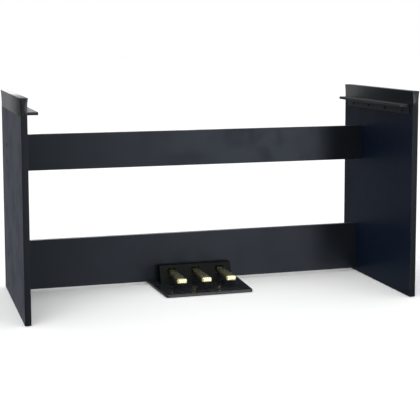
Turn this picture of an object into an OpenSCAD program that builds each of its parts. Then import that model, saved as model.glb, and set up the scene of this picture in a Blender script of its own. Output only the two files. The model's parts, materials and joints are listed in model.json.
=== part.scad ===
// Furniture stand for an 88-key stage piano, with a triple pedal unit.
// Millimetres. +X right, +Y back, +Z up. The origin is the bottom centre of the whole stand.

/* [Overall] */
// Width over the outer faces of the two side panels
panel_span = 1380; // [1140:1:1660]
// Depth of the side panels, front edge to back edge
stand_d = 586; // [480:1:710]
// Height of the stand, floor to the top of the caps
stand_h = 733; // [600:1:880]
// Height of the glides and pads that hold the boards off the floor
glide_h = 2; // [2:0.5:4]

/* [Side panels] */
// Thickness of the side panels
board_t = 21; // [17:0.5:26]
// Thickness of the edge band on the front and back edges
band_t = 1; // [0.5:0.5:2]
// Diameter of a floor glide
glide_d = 18; // [14:1:18]
// Distance from a glide's centre to the nearest edge of its panel
glide_inset = 36; // [15:1:80]

/* [Top caps] */
// Height of the cap on each side panel
cap_h = 60; // [48:1:90]
// How far the cap's cove leans out at the top, each side
cap_flare = 3; // [1:0.5:6]
// How far the instrument's underside sits below the top of the caps
support_drop = 47; // [35:1:57]
// Straight stretch between the support bracket and the start of the cove
cove_gap = 3; // [1:0.5:8]

/* [Support brackets] */
// Width of the bracket's tray
tray_w = 38; // [32:1:60]
// Sheet thickness of the brackets
bracket_t = 2.5; // [1.5:0.5:3]
// Depth of the lip that hangs round the tray
lip_h = 10; // [6:1:16]
// How far the bracket's flange reaches down over the side panel, below the cap
flange_lap = 23; // [16:1:40]
// Distance from the ends of the bracket to the panel's edges
bracket_setback = 28; // [10:1:60]
// Diameter of the holes for the instrument's fixing screws
fix_hole_d = 7; // [5:0.5:9]
// Front-to-back distance between the two fixing holes of a bracket
fix_pitch_y = 340; // [200:1:420]
// Front-to-back distance between neighbouring bracket screws
bracket_screw_pitch = 140; // [80:1:170]

/* [Rails] */
// Thickness of both rails
rail_t = 18; // [15:0.5:24]
// Distance from the cap down to the upper rail's upper edge
upper_rail_drop = 94; // [45:1:130]
// Height of the upper rail, edge to edge
upper_rail_h = 130; // [100:1:160]
// Distance from the panel's back edge to the upper rail's front face
upper_rail_setback = 151; // [60:1:200]
// Height of the lower rail, edge to edge
lower_rail_h = 180; // [140:1:220]
// Distance from the panel's back edge to the lower rail's front face
lower_rail_setback = 119; // [98:1:160]

/* [Board fixings] */
// Thread diameter of the connecting bolts
bolt_d = 6; // [5:0.5:8]
// Head diameter of the connecting bolts
bolt_head_d = 13; // [10:0.5:16]
// How far a bolt reaches past the middle of its barrel nut
bolt_past_nut = 8; // [6:0.5:12]
// Distance from a rail's end to the centre of the barrel nut
nut_inset = 34; // [20:1:45]
// Diameter of a barrel nut
nut_d = 10; // [9:0.5:14]
// Diameter of the wooden dowels
dowel_d = 8; // [6:1:10]
// Length of a wooden dowel
dowel_l = 30; // [24:1:40]
// Distance from the upper rail's edges to its bolts
upper_bolt_inset = 37; // [20:1:45]
// Distance from the lower rail's lower edge to its lower bolts
lower_bolt_low = 22; // [18:1:40]
// Distance from the lower rail's upper edge to its upper bolts
lower_bolt_high = 46; // [20:1:60]
// How far a bolt cover laps over the panel round its recess
cover_lap = 1.5; // [1:0.25:4]

/* [Pedal base plate] */
// Thickness of the base plate
plate_t = 9; // [7:0.5:14]
// How far the plate's front reaches sideways past the middle of the outer pedals
plate_front_side = 69; // [54:1:100]
// How far the plate's back reaches sideways past the middle of the outer pedals
plate_back_side = 83; // [70:1:110]
// How far the plate reaches in front of the lower rail
plate_reach = 231; // [192:1:300]
// Radius of the plate's corners
plate_corner_r = 11; // [4:1:20]

/* [Pedal housing] */
// How far the housing reaches sideways past the middle of the outer pedals
housing_side_reach = 45; // [43:1:54]
// Height of the housing's top above the top of the pedals' roots
housing_head = 13.5; // [7:0.5:20]
// Depth of the housing at its foot, in front of the rail
housing_foot = 52; // [44:1:70]
// Depth of the housing at its top, in front of the rail
housing_top = 28; // [20:1:40]
// Wall of the housing and of the rear cover
shell_t = 2.5; // [1.5:0.5:3]
// Distance from the axle to the outside of the rear cover
rear_room = 26; // [22:1:40]
// Clearance round a pedal in its slot
slot_gap = 2; // [1.5:0.5:4]

/* [Pedals] */
// Distance between neighbouring pedals
pedal_pitch = 93; // [77:1:112]
// How far the pedals' noses reach in front of the lower rail
pedal_reach = 189; // [150:1:198]
// Width of a pedal at its nose
nose_w = 39; // [30:0.5:47]
// Height of a pedal's nose
nose_h = 18.5; // [14:0.5:24]
// Width of a pedal at its root
root_w = 24; // [20:0.5:34]
// Height of a pedal at its root
root_h = 14; // [10:0.5:17]
// Height of the nose's top above the base plate
nose_top = 45; // [40:0.5:56]
// Height of the root's top above the base plate
root_top = 49.5; // [44:0.5:64]
// Full travel of a pedal about its axle, in degrees
pedal_travel = 3.4; // [2:0.1:4.1]

/* [Pedal mechanism] */
// Diameter of the axle
axle_d = 8; // [6:0.5:10]
// Running clearance between axle and bush, on the radius
run_gap = 0.05; // [0.02:0.01:0.1]
// Outer diameter of a bush
bush_d = 12; // [11:0.5:14.5]
// Outer diameter of a pedal's hub
hub_d = 18; // [17:0.5:22]
// Length of a pedal's hub
hub_l = 30; // [20:1:36]
// Distance from the rail's back face to the axle
axle_back = 48; // [40:1:58]
// Sheet thickness of the chassis
chassis_t = 2; // [1.5:0.5:2.5]
// Outer diameter of a return spring
spring_d = 15; // [10:0.5:18]
// Wire diameter of a return spring
wire_d = 2; // [1:0.25:2.5]
// Diameter of the cable socket's opening
socket_bore_d = 9.5; // [8:0.5:11]
// Depth of the cable socket's opening
socket_bore_l = 7; // [5:0.5:9]

/* [Hidden] */
$fn = 48;
fit_gap = 0.1;
screw_gap = 0.05;

// Side panels
inner_x = panel_span / 2 - board_t;
panel_mid_x = panel_span / 2 - board_t / 2;
panel_top_z = stand_h - cap_h;
core_y = stand_d / 2 - band_t;
glide_stem_d = 6;
glide_stem_l = 14;
glide_y = stand_d / 2 - glide_inset;

// Top caps
cove_h = min(support_drop - cove_gap, cap_h);
cove_r = (cove_h * cove_h + cap_flare * cap_flare) / (2 * cap_flare);
cap_dowel_y = bracket_screw_pitch;

// Support brackets
tray_z = stand_h - support_drop;
bracket_y = stand_d / 2 - bracket_setback;
flange_z = panel_top_z - flange_lap;
flange_h = tray_z - flange_z;
bracket_screw_z = flange_z + flange_lap / 2;
bracket_screw_ys = [-1.5, -0.5, 0.5, 1.5] * bracket_screw_pitch;
bracket_screw_d = 4;
bracket_screw_l = 16;
bracket_head_d = 8.5;
bracket_head_h = 2.4;
fix_x = inner_x - tray_w / 2;

// Rails
plate_top = glide_h + plate_t;
upper_rail_z = panel_top_z - upper_rail_drop - upper_rail_h;
upper_front_y = stand_d / 2 - upper_rail_setback;
rail_front_y = stand_d / 2 - lower_rail_setback;
rail_back_y = rail_front_y + rail_t;
upper_mid_y = upper_front_y + rail_t / 2;
lower_mid_y = rail_front_y + rail_t / 2;
upper_bolt_zs = [upper_rail_z + upper_bolt_inset, upper_rail_z + upper_rail_h - upper_bolt_inset];
lower_bolt_zs = [plate_top + lower_bolt_low, plate_top + lower_rail_h - lower_bolt_high];
// Each rail end: middle of the rail's thickness, then the heights of its bolts
rail_ends = [[upper_mid_y, upper_bolt_zs], [lower_mid_y, lower_bolt_zs]];

// Board fixings
bolt_reach = nut_inset + bolt_past_nut;
recess_d = bolt_head_d + 1;
recess_l = 6;
bolt_head_h = 3.5;
key_d = 5;
key_l = 2.2;
nut_l = rail_t - 4;
cover_d = recess_d + 2 * cover_lap;
cover_t = 1.2;
cover_plug_l = 1.8;
dowel_in_panel = dowel_l * 0.4;

// Pedals
pedal_xs = [-pedal_pitch, 0, pedal_pitch];
root_setback = 24;
nose_y = rail_front_y - pedal_reach;
root_y = rail_front_y - root_setback;
nose_r = 5;
root_r = 3;
arm_w = 16;
arm_h = 10;
arm_drop = 6.5;
arm_z = plate_top + root_top - arm_drop - arm_h;
axle_lift = 2;
axle_y = rail_back_y + axle_back;
axle_z = arm_z + axle_lift;

// Pedal base plate
rear_cover_y = axle_y + rear_room;
plate_tail = 6;
plate_front_w = 2 * (pedal_pitch + plate_front_side);
plate_back_w = 2 * (pedal_pitch + plate_back_side);
plate_front_y = rail_front_y - plate_reach;
plate_back_y = rear_cover_y + plate_tail;
pad_d = 18;
pad_sink = 1;
pad_inset_x = 22;
pad_inset_y = 26;
screw_d = 4;
screw_head_d = 7.6;
screw_head_h = 2.6;
head_sink = 0.5;

// Pedal housing
housing_w = 2 * (pedal_pitch + housing_side_reach);
housing_h = root_top + housing_head;
housing_z = plate_top + housing_h;
housing_foot_y = rail_front_y - housing_foot;
housing_top_y = rail_front_y - housing_top;
boss_d = 8;
boss_h = 14;
boss_tip = 3;
front_lean = (housing_foot - housing_top) / housing_h;
outer_boss_x = housing_w / 2 - 10;
boss_xs = [-outer_boss_x, -pedal_pitch / 2, pedal_pitch / 2, outer_boss_x];
boss_y = housing_foot_y + front_lean * boss_h + boss_d / 2 + shell_t / 2;
slot_flare = (nose_w - root_w) * (root_y - housing_foot_y) / (root_y - nose_y);
slot_w = root_w + slot_flare + 2 * slot_gap;
slot_low = root_top - root_h - (axle_y - housing_foot_y) * sin(pedal_travel) - slot_gap;
slot_high = root_top + slot_gap;

// Rear cover
cover_margin = 4;
rear_cover_w = housing_w + 2 * cover_margin;
rear_cover_h = housing_h + 2;
rear_cover_d = rear_cover_y - rail_back_y;
cover_boss_x = rear_cover_w / 2 - boss_d / 2;
cover_boss_ys = [rail_back_y + 11, rear_cover_y - 8];
pad_ys = [plate_front_y + pad_inset_y, (cover_boss_ys[0] + cover_boss_ys[1]) / 2];

// Chassis
chassis_x = housing_w / 2 - 2 * shell_t;
chassis_front_y = root_y - 4;
chassis_back_y = rear_cover_y - shell_t - 1.5;
rail_notch_w = 2 * (chassis_x + 1);
rail_notch_h = housing_h - shell_t;
floor_z = plate_top + chassis_t;
rest_felt_t = 3;
down_felt_t = 2.5;
felt_gap = 0.1;
strip_z = arm_z + arm_h + rest_felt_t + felt_gap;
strip_y = rail_back_y + 4;
strip_d = 18;
felt_w = 20;
felt_d = 10;
down_gap = 0.3;
stop_drop = (axle_y - root_y + 1) * sin(pedal_travel);
stop_z = arm_z - stop_drop - down_felt_t - down_gap;
stop_d = 12;
ear_xs = [-pedal_pitch / 2, pedal_pitch / 2];
ear_d = 26;
chassis_screw_l = 5;
chassis_screw_x = chassis_x - 22;
chassis_screw_ys = [chassis_front_y + 9, chassis_back_y - 9];
spring_y = root_y + 20;
spring_h = arm_z - floor_z - felt_gap;
spring_turns = 6;
axle_l = 2 * chassis_x + 6;
clip_t = 1;
clip_d = 15;
spacer_gap = 0.2;

// Sensor board and cable socket
board_thick = 1.6;
sensor_h = 5;
sensor_gap = 8;
board_z = arm_z - sensor_gap - sensor_h - board_thick;
sensor_board_w = 2 * pedal_pitch + 36;
sensor_board_y = rail_back_y + 4;
sensor_board_d = 26;
standoff_d = 6;
standoff_x = sensor_board_w / 2 - 6;
plug_h = 9;
socket_x = (1.5 * pedal_pitch - hub_l / 2) / 2;
socket_z = board_z + board_thick + plug_h / 2;
socket_d = 15;
socket_flange_d = 19;
socket_flange_t = 2;
socket_l = 14;
lead_d = 5;

// The children, and their mirror image on the other side of the stand
module both_sides() {
    children();
    mirror([1, 0, 0])
        children();
}

// A box from its lowest corner
module block(corner, size) {
    translate(corner)
        cube(size);
}

// A rod along +X from a point
module rod_x(start, d, l) {
    translate(start)
        rotate([0, 90, 0])
            cylinder(d = d, h = l);
}

// A rod along +Y from a point
module rod_y(start, d, l) {
    translate(start)
        rotate([-90, 0, 0])
            cylinder(d = d, h = l);
}

// A rod along +Z from a point
module rod_z(start, d, l) {
    translate(start)
        cylinder(d = d, h = l);
}

// A pan-head screw pointing up, from the floor side of the base plate
module up_screw(x, y, l) {
    difference() {
        union() {
            rod_z([x, y, glide_h + head_sink], screw_head_d, screw_head_h);
            rod_z([x, y, glide_h + head_sink], screw_d, screw_head_h + l);
        }
        translate([x, y, glide_h])
            cylinder(d = 3, h = head_sink + 1.4, $fn = 6);
    }
}

// The hole that such a screw needs through the base plate
module up_screw_hole(x, y) {
    rod_z([x, y, 0], screw_head_d + 0.6, glide_h + head_sink + screw_head_h);
    rod_z([x, y, 0], screw_d + 2 * screw_gap, plate_top + 1);
}

// Bolt centres of the left-hand rail ends
module at_rail_bolts() {
    for (rail = rail_ends)
        for (z = rail[1])
            translate([0, rail[0], z])
                children();
}

// Dowel centres of the left-hand rail ends, midway between the bolts
module at_rail_dowels() {
    for (rail = rail_ends)
        translate([0, rail[0], (rail[1][0] + rail[1][1]) / 2])
            children();
}

// Left side panel: a laminated board, drilled for everything that is fixed to it
module panel_shape() {
    difference() {
        block([-panel_span / 2, -core_y, glide_h], [board_t, 2 * core_y, panel_top_z - glide_h]);
        at_rail_bolts() {
            rod_x([-panel_span / 2 - 1, 0, 0], recess_d, recess_l + 1);
            rod_x([-panel_span / 2, 0, 0], bolt_d + 2 * fit_gap, board_t + 1);
        }
        at_rail_dowels()
            rod_x([-inner_x - dowel_in_panel - 1, 0, 0], dowel_d + 2 * screw_gap, dowel_in_panel + 2);
        for (y = bracket_screw_ys)
            rod_x([-inner_x - bracket_screw_l, y, bracket_screw_z],
                bracket_screw_d + 2 * screw_gap, bracket_screw_l + 1);
        for (y = [-cap_dowel_y, 0, cap_dowel_y])
            rod_z([-panel_mid_x, y, panel_top_z - dowel_l / 2 - 1], dowel_d + 2 * screw_gap, dowel_l);
        for (y = [-glide_y, glide_y])
            rod_z([-panel_mid_x, y, 0], glide_stem_d + 2 * screw_gap, glide_h + glide_stem_l + 1);
    }
}

module left_side_panel() {
    color("#2b2e36")
        panel_shape();
}

module right_side_panel() {
    color("#2b2e36")
        mirror([1, 0, 0])
            panel_shape();
}

// Edge bands on the front and back edges of both panels
module panel_edge_bands() {
    color("#202227")
        both_sides()
            for (y = [-stand_d / 2, core_y])
                block([-panel_span / 2, y, glide_h], [board_t, band_t, panel_top_z - glide_h]);
}

// Nail-on glides, two under each panel
module panel_glides() {
    color("#3a3a3a")
        both_sides()
            for (y = [-glide_y, glide_y]) {
                rod_z([-panel_mid_x, y, 0], glide_d, glide_h);
                rod_z([-panel_mid_x, y, 0], glide_stem_d, glide_h + glide_stem_l);
            }
}

// Cross-section of a cap: straight below, a cove on each side above
module cap_section() {
    translate([-board_t / 2, 0])
        square([board_t, cap_h]);
    difference() {
        translate([-board_t / 2 - cap_flare, cap_h - cove_h])
            square([board_t + 2 * cap_flare, cove_h]);
        for (side = [-1, 1])
            translate([side * (board_t / 2 + cove_r), cap_h - cove_h])
                circle(r = cove_r, $fn = 96);
    }
}

// Left cap, seated on the top edge of its panel
module cap_shape() {
    difference() {
        translate([-panel_mid_x, stand_d / 2, panel_top_z])
            rotate([90, 0, 0])
                linear_extrude(height = stand_d)
                    cap_section();
        for (y = [-cap_dowel_y, 0, cap_dowel_y])
            rod_z([-panel_mid_x, y, panel_top_z - 1], dowel_d + 2 * screw_gap, dowel_l / 2 + 2);
    }
}

module left_top_cap() {
    color("#33343a")
        cap_shape();
}

module right_top_cap() {
    color("#33343a")
        mirror([1, 0, 0])
            cap_shape();
}

// Dowels that locate the caps
module cap_dowels() {
    color("burlywood")
        both_sides()
            for (y = [-cap_dowel_y, 0, cap_dowel_y])
                rod_z([-panel_mid_x, y, panel_top_z - dowel_l / 2], dowel_d, dowel_l);
}

// Left support bracket: a folded tray with a lip round it and a flange against the panel
module bracket_shape() {
    difference() {
        block([-inner_x, -bracket_y, flange_z], [tray_w, 2 * bracket_y, flange_h]);
        block([-inner_x + bracket_t, -bracket_y + bracket_t, flange_z - 1],
            [tray_w - 2 * bracket_t, 2 * bracket_y - 2 * bracket_t, flange_h + 1 - bracket_t]);
        block([-inner_x + bracket_t, -bracket_y - 1, flange_z - 1],
            [tray_w, 2 * bracket_y + 2, flange_h + 1 - lip_h]);
        for (y = bracket_screw_ys)
            rod_x([-inner_x - 1, y, bracket_screw_z], bracket_screw_d + 2 * screw_gap, bracket_t + 2);
        for (y = [-fix_pitch_y / 2, fix_pitch_y / 2])
            rod_z([-fix_x, y, tray_z - bracket_t - 1], fix_hole_d, bracket_t + 2);
    }
}

module left_support_bracket() {
    color("#1c1d20")
        bracket_shape();
}

module right_support_bracket() {
    color("#1c1d20")
        mirror([1, 0, 0])
            bracket_shape();
}

// Pan-head screws that hold the brackets to the panels
module bracket_screws() {
    color("#4a4a4c")
        both_sides()
            for (y = bracket_screw_ys)
                difference() {
                    union() {
                        rod_x([-inner_x - bracket_screw_l + bracket_t, y, bracket_screw_z],
                            bracket_screw_d, bracket_screw_l);
                        rod_x([-inner_x + bracket_t, y, bracket_screw_z], bracket_head_d, bracket_head_h);
                    }
                    translate([-inner_x + bracket_t + bracket_head_h / 2, y, bracket_screw_z])
                        rotate([0, 90, 0])
                            cylinder(d = 3.4, h = bracket_head_h, $fn = 4);
                }
}

// Holes at both ends of a rail for its bolts, barrel nuts and dowel
module rail_end_holes(mid_y, bolt_zs) {
    both_sides() {
        for (z = bolt_zs) {
            rod_x([-inner_x - 1, mid_y, z], bolt_d + 2 * fit_gap, bolt_reach + 3);
            rod_y([-inner_x + nut_inset, mid_y - nut_l / 2 - fit_gap, z], nut_d + 2 * fit_gap, rail_t);
        }
        rod_x([-inner_x - 1, mid_y, (bolt_zs[0] + bolt_zs[1]) / 2],
            dowel_d + 2 * screw_gap, dowel_l - dowel_in_panel + 2);
    }
}

module upper_rail() {
    color("#2f3136")
        difference() {
            block([-inner_x, upper_front_y, upper_rail_z], [2 * inner_x, rail_t, upper_rail_h]);
            rail_end_holes(upper_mid_y, upper_bolt_zs);
        }
}

// Lower rail, notched at the middle of its lower edge for the pedal mechanism
module lower_rail() {
    color("#2f3136")
        difference() {
            block([-inner_x, rail_front_y, plate_top], [2 * inner_x, rail_t, lower_rail_h]);
            rail_end_holes(lower_mid_y, lower_bolt_zs);
            block([-rail_notch_w / 2, rail_front_y - 1, plate_top - 1],
                [rail_notch_w, rail_t + 2, rail_notch_h + 1]);
            for (x = [-rail_screw_x(), rail_screw_x()])
                rod_z([x, lower_mid_y, plate_top - 1], screw_d + 2 * screw_gap, 28);
        }
}

// Wooden dowels between the rails and the panels
module rail_dowels() {
    color("burlywood")
        both_sides()
            at_rail_dowels()
                rod_x([-inner_x - dowel_in_panel, 0, 0], dowel_d, dowel_l);
}

// Connecting bolts with a hexagon socket in the head
module rail_bolts() {
    color("silver")
        both_sides()
            at_rail_bolts()
                difference() {
                    union() {
                        rod_x([-panel_span / 2 + recess_l - bolt_head_h, 0, 0], bolt_head_d, bolt_head_h);
                        rod_x([-panel_span / 2 + recess_l, 0, 0],
                            bolt_d, board_t - recess_l + bolt_reach);
                    }
                    translate([-panel_span / 2, 0, 0])
                        rotate([0, 90, 0])
                            cylinder(d = key_d, h = recess_l - bolt_head_h + key_l, $fn = 6);
                }
}

// Barrel nuts that lie across the rails and take the bolts
module barrel_nuts() {
    color("silver")
        both_sides()
            at_rail_bolts()
                difference() {
                    rod_y([-inner_x + nut_inset, -nut_l / 2, 0], nut_d, nut_l);
                    rod_x([-inner_x + nut_inset - nut_d, 0, 0], bolt_d + 2 * screw_gap, 2 * nut_d);
                }
}

// Push-in covers over the bolt heads
module bolt_covers() {
    color("#17181a")
        both_sides()
            at_rail_bolts() {
                rod_x([-panel_span / 2 - cover_t, 0, 0], cover_d, cover_t);
                rod_x([-panel_span / 2 - cover_t, 0, 0], recess_d - 2 * screw_gap, cover_t + cover_plug_l);
            }
}

// Half width of the base plate at a given y
function plate_half_w(y) =
    (plate_front_w + (plate_back_w - plate_front_w) * (y - plate_front_y) / (plate_back_y - plate_front_y)) / 2;

// Where the screws between plate and rail stand: midway from the notch to the plate's edge
function rail_screw_x() = (rail_notch_w / 2 + plate_half_w(lower_mid_y)) / 2;

// Where the plate's pads lie at a given y: a set way in from the plate's edge
function pad_x(y) = plate_half_w(y) - pad_inset_x;

// Outline of the base plate: wider at the back, with round corners
module plate_outline() {
    hull()
        for (side = [-1, 1]) {
            translate([side * (plate_front_w / 2 - plate_corner_r), plate_front_y + plate_corner_r])
                circle(r = plate_corner_r, $fn = 40);
            translate([side * (plate_back_w / 2 - plate_corner_r), plate_back_y - plate_corner_r])
                circle(r = plate_corner_r, $fn = 40);
        }
}

module pedal_base_plate() {
    color("#1a1a1c")
        difference() {
            translate([0, 0, glide_h])
                linear_extrude(height = plate_t)
                    plate_outline();
            for (x = boss_xs)
                up_screw_hole(x, boss_y);
            for (x = [-chassis_screw_x, chassis_screw_x])
                for (y = chassis_screw_ys)
                    up_screw_hole(x, y);
            for (x = [-cover_boss_x, cover_boss_x])
                for (y = cover_boss_ys)
                    up_screw_hole(x, y);
            for (x = [-rail_screw_x(), rail_screw_x()])
                up_screw_hole(x, lower_mid_y);
            for (y = pad_ys)
                for (side = [-1, 1])
                    rod_z([side * pad_x(y), y, 0], pad_d + 2 * fit_gap, glide_h + pad_sink);
        }
}

// Rubber pads let into the underside of the plate
module plate_pads() {
    color("#2c2c2c")
        for (y = pad_ys)
            for (side = [-1, 1])
                rod_z([side * pad_x(y), y, 0], pad_d, glide_h + pad_sink);
}

// Screws from the plate up into the lower rail
module rail_screws() {
    color("silver")
        for (x = [-rail_screw_x(), rail_screw_x()])
            up_screw(x, lower_mid_y, 30);
}

// Side view of the housing, drawn in y and z
module housing_side(inset) {
    polygon([
        [housing_foot_y + 1.1 * inset, plate_top - (inset > 0 ? 1 : 0)],
        [housing_top_y + inset, housing_z - inset],
        [rail_front_y + (inset > 0 ? 1 : 0), housing_z - inset],
        [rail_front_y + (inset > 0 ? 1 : 0), plate_top - (inset > 0 ? 1 : 0)]
    ]);
}

// A prism of the children's y-z outline, w wide and centred in x
module across(w) {
    translate([-w / 2, 0, 0])
        rotate([90, 0, 90])
            linear_extrude(height = w)
                children();
}

// Front shell of the pedal unit: sloping front with three slots, open to the back and below
module pedal_housing() {
    color("#1b1c1f")
        difference() {
            union() {
                difference() {
                    across(housing_w)
                        housing_side(0);
                    across(housing_w - 2 * shell_t)
                        housing_side(shell_t);
                }
                for (x = boss_xs)
                    rod_z([x, boss_y, plate_top], boss_d, boss_h);
            }
            for (x = pedal_xs)
                block([x - slot_w / 2, housing_foot_y - 1, plate_top + slot_low],
                    [slot_w, housing_foot - housing_top + 2 + shell_t, slot_high - slot_low]);
            for (x = boss_xs)
                rod_z([x, boss_y, plate_top - 1], screw_d + 2 * screw_gap, boss_h);
        }
}

// Screws from the plate up into the housing's bosses
module housing_screws() {
    color("silver")
        for (x = boss_xs)
            up_screw(x, boss_y, plate_t - head_sink - screw_head_h + boss_h - boss_tip);
}

// Rear shell of the pedal unit, behind the rail, with a hole for the cable socket
module pedal_rear_cover() {
    color("#1b1c1f")
        difference() {
            union() {
                difference() {
                    block([-rear_cover_w / 2, rail_back_y, plate_top], [rear_cover_w, rear_cover_d, rear_cover_h]);
                    block([-rear_cover_w / 2 + shell_t, rail_back_y - 1, plate_top - 1],
                        [rear_cover_w - 2 * shell_t, rear_cover_d + 1 - shell_t, rear_cover_h + 1 - shell_t]);
                }
                for (x = [-cover_boss_x, cover_boss_x])
                    for (y = cover_boss_ys)
                        rod_z([x, y, plate_top], boss_d, boss_h);
            }
            for (x = [-cover_boss_x, cover_boss_x])
                for (y = cover_boss_ys)
                    rod_z([x, y, plate_top - 1], screw_d + 2 * screw_gap, boss_h);
            rod_y([socket_x, rear_cover_y - shell_t - 1, socket_z], socket_d + 2 * fit_gap, shell_t + 2);
        }
}

// Screws from the plate up into the rear cover's bosses
module rear_cover_screws() {
    color("silver")
        for (x = [-cover_boss_x, cover_boss_x])
            for (y = cover_boss_ys)
                up_screw(x, y, plate_t - head_sink - screw_head_h + boss_h - boss_tip);
}

// Sheet-steel chassis: floor, two cheeks, stop bar, rest strip and two inner ears for the axle
module pedal_chassis() {
    depth = chassis_back_y - chassis_front_y;
    color("#8d9094")
        difference() {
            union() {
                block([-chassis_x, chassis_front_y, plate_top], [2 * chassis_x, depth, chassis_t]);
                for (x = [-chassis_x, chassis_x - chassis_t])
                    block([x, chassis_front_y, plate_top], [chassis_t, depth, strip_z + chassis_t - plate_top]);
                block([-chassis_x, chassis_front_y, plate_top],
                    [2 * chassis_x, chassis_t, stop_z - plate_top]);
                block([-chassis_x, chassis_front_y, stop_z - chassis_t], [2 * chassis_x, stop_d, chassis_t]);
                block([-chassis_x, strip_y, strip_z], [2 * chassis_x, strip_d, chassis_t]);
                for (x = ear_xs)
                    block([x - chassis_t / 2, axle_y - ear_d / 2, plate_top],
                        [chassis_t, ear_d, axle_z + ear_d / 2 - plate_top]);
                for (x = [-standoff_x, standoff_x])
                    rod_z([x, sensor_board_y + sensor_board_d / 2, floor_z], standoff_d, board_z - floor_z);
            }
            rod_x([-chassis_x - 1, axle_y, axle_z], axle_d + 2 * screw_gap, 2 * chassis_x + 2);
            for (x = [-chassis_screw_x, chassis_screw_x])
                for (y = chassis_screw_ys)
                    rod_z([x, y, plate_top - 1], screw_d + 2 * screw_gap, chassis_t + 2);
        }
}

// Screws from the plate up into the chassis floor
module chassis_screws() {
    color("silver")
        for (x = [-chassis_screw_x, chassis_screw_x])
            for (y = chassis_screw_ys)
                up_screw(x, y, plate_t - head_sink - screw_head_h + chassis_screw_l);
}

// Steel axle across the chassis
module pedal_axle() {
    color("silver")
        rod_x([-axle_l / 2, axle_y, axle_z], axle_d, axle_l);
}

// Retaining clips outside the cheeks
module axle_clips() {
    color("#55585c")
        both_sides()
            difference() {
                rod_x([-chassis_x - fit_gap - clip_t, axle_y, axle_z], clip_d, clip_t);
                rod_x([-chassis_x - 2 * clip_t, axle_y, axle_z], axle_d, 3 * clip_t);
            }
}

// A spacer tube on the axle, from one x to another
module spacer(from_x, to_x) {
    difference() {
        rod_x([from_x + spacer_gap, axle_y, axle_z], bush_d, to_x - from_x - 2 * spacer_gap);
        rod_x([from_x, axle_y, axle_z], axle_d + 2 * run_gap, to_x - from_x);
    }
}

// Tubes that keep the hubs centred between the cheeks and the ears
module axle_spacers() {
    color("#d8d4c8")
        both_sides() {
            spacer(-chassis_x + chassis_t, -pedal_pitch - hub_l / 2);
            spacer(-pedal_pitch + hub_l / 2, -pedal_pitch / 2 - chassis_t / 2);
            spacer(-pedal_pitch / 2 + chassis_t / 2, -hub_l / 2);
        }
}

// A pedal: a tongue that widens to a deep nose, an arm behind it and a hub on the axle
module pedal_shape() {
    difference() {
        union() {
            hull()
                for (side = [-1, 1]) {
                    for (z = [nose_top - nose_r, nose_top - nose_h + nose_r])
                        translate([side * (nose_w / 2 - nose_r), nose_y + nose_r, plate_top + z])
                            sphere(r = nose_r, $fn = 20);
                    for (z = [root_top - root_r, root_top - root_h + root_r])
                        translate([side * (root_w / 2 - root_r), root_y, plate_top + z])
                            sphere(r = root_r, $fn = 20);
                }
            block([-arm_w / 2, root_y - 1, arm_z], [arm_w, axle_y - root_y + 1, arm_h]);
            rod_x([-hub_l / 2, axle_y, axle_z], hub_d, hub_l);
        }
        rod_x([-hub_l / 2 - 1, axle_y, axle_z], bush_d, hub_l + 2);
    }
}

module soft_pedal() {
    color("#b98f3a")
        translate([pedal_xs[0], 0, 0])
            pedal_shape();
}

module sostenuto_pedal() {
    color("#b98f3a")
        translate([pedal_xs[1], 0, 0])
            pedal_shape();
}

module damper_pedal() {
    color("#b98f3a")
        translate([pedal_xs[2], 0, 0])
            pedal_shape();
}

// A plain bearing bush pressed into a hub
module bush_shape(x) {
    difference() {
        rod_x([x - hub_l / 2, axle_y, axle_z], bush_d, hub_l);
        rod_x([x - hub_l / 2 - 1, axle_y, axle_z], axle_d + 2 * run_gap, hub_l + 2);
    }
}

module soft_pedal_bush() {
    color("#e6e2d6")
        bush_shape(pedal_xs[0]);
}

module sostenuto_pedal_bush() {
    color("#e6e2d6")
        bush_shape(pedal_xs[1]);
}

module damper_pedal_bush() {
    color("#e6e2d6")
        bush_shape(pedal_xs[2]);
}

// Compression spring: a wire of six sides swept up a helix, closed at both ends
module spring_shape(x) {
    sides = 6;
    steps = 14 * spring_turns;
    coil_r = spring_d / 2 - wire_d / 2;
    rise = spring_h - wire_d;
    points = [
        for (i = [0 : steps])
            for (k = [0 : sides - 1])
                let (
                    turn = 360 * spring_turns * i / steps,
                    r = coil_r + wire_d / 2 * cos(360 * k / sides),
                    z = rise * i / steps + wire_d / 2 * (1 + sin(360 * k / sides))
                )
                [r * cos(turn), r * sin(turn), z]
    ];
    walls = [
        for (i = [0 : steps - 1])
            for (k = [0 : sides - 1])
                let (a = i * sides + k, b = i * sides + (k + 1) % sides)
                [a, a + sides, b + sides, b]
    ];
    start_face = [for (k = [0 : sides - 1]) k];
    end_face = [for (k = [sides - 1 : -1 : 0]) steps * sides + k];
    translate([x, spring_y, floor_z])
        polyhedron(points = points, faces = concat([start_face], walls, [end_face]), convexity = 8);
}

module soft_pedal_spring() {
    color("#a8abb0")
        spring_shape(pedal_xs[0]);
}

module sostenuto_pedal_spring() {
    color("#a8abb0")
        spring_shape(pedal_xs[1]);
}

module damper_pedal_spring() {
    color("#a8abb0")
        spring_shape(pedal_xs[2]);
}

// Felts under the rest strip, which the arms lie against when the pedals are up
module rest_felts() {
    color("#7a2430")
        for (x = pedal_xs)
            block([x - felt_w / 2, strip_y + (strip_d - felt_d) / 2, strip_z - rest_felt_t],
                [felt_w, felt_d, rest_felt_t]);
}

// Felts on the stop bar, which the pedals meet when they are fully down
module down_felts() {
    color("#7a2430")
        for (x = pedal_xs)
            block([x - felt_w / 2, chassis_front_y + (stop_d - felt_d) / 2, stop_z],
                [felt_w, felt_d, down_felt_t]);
}

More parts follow.
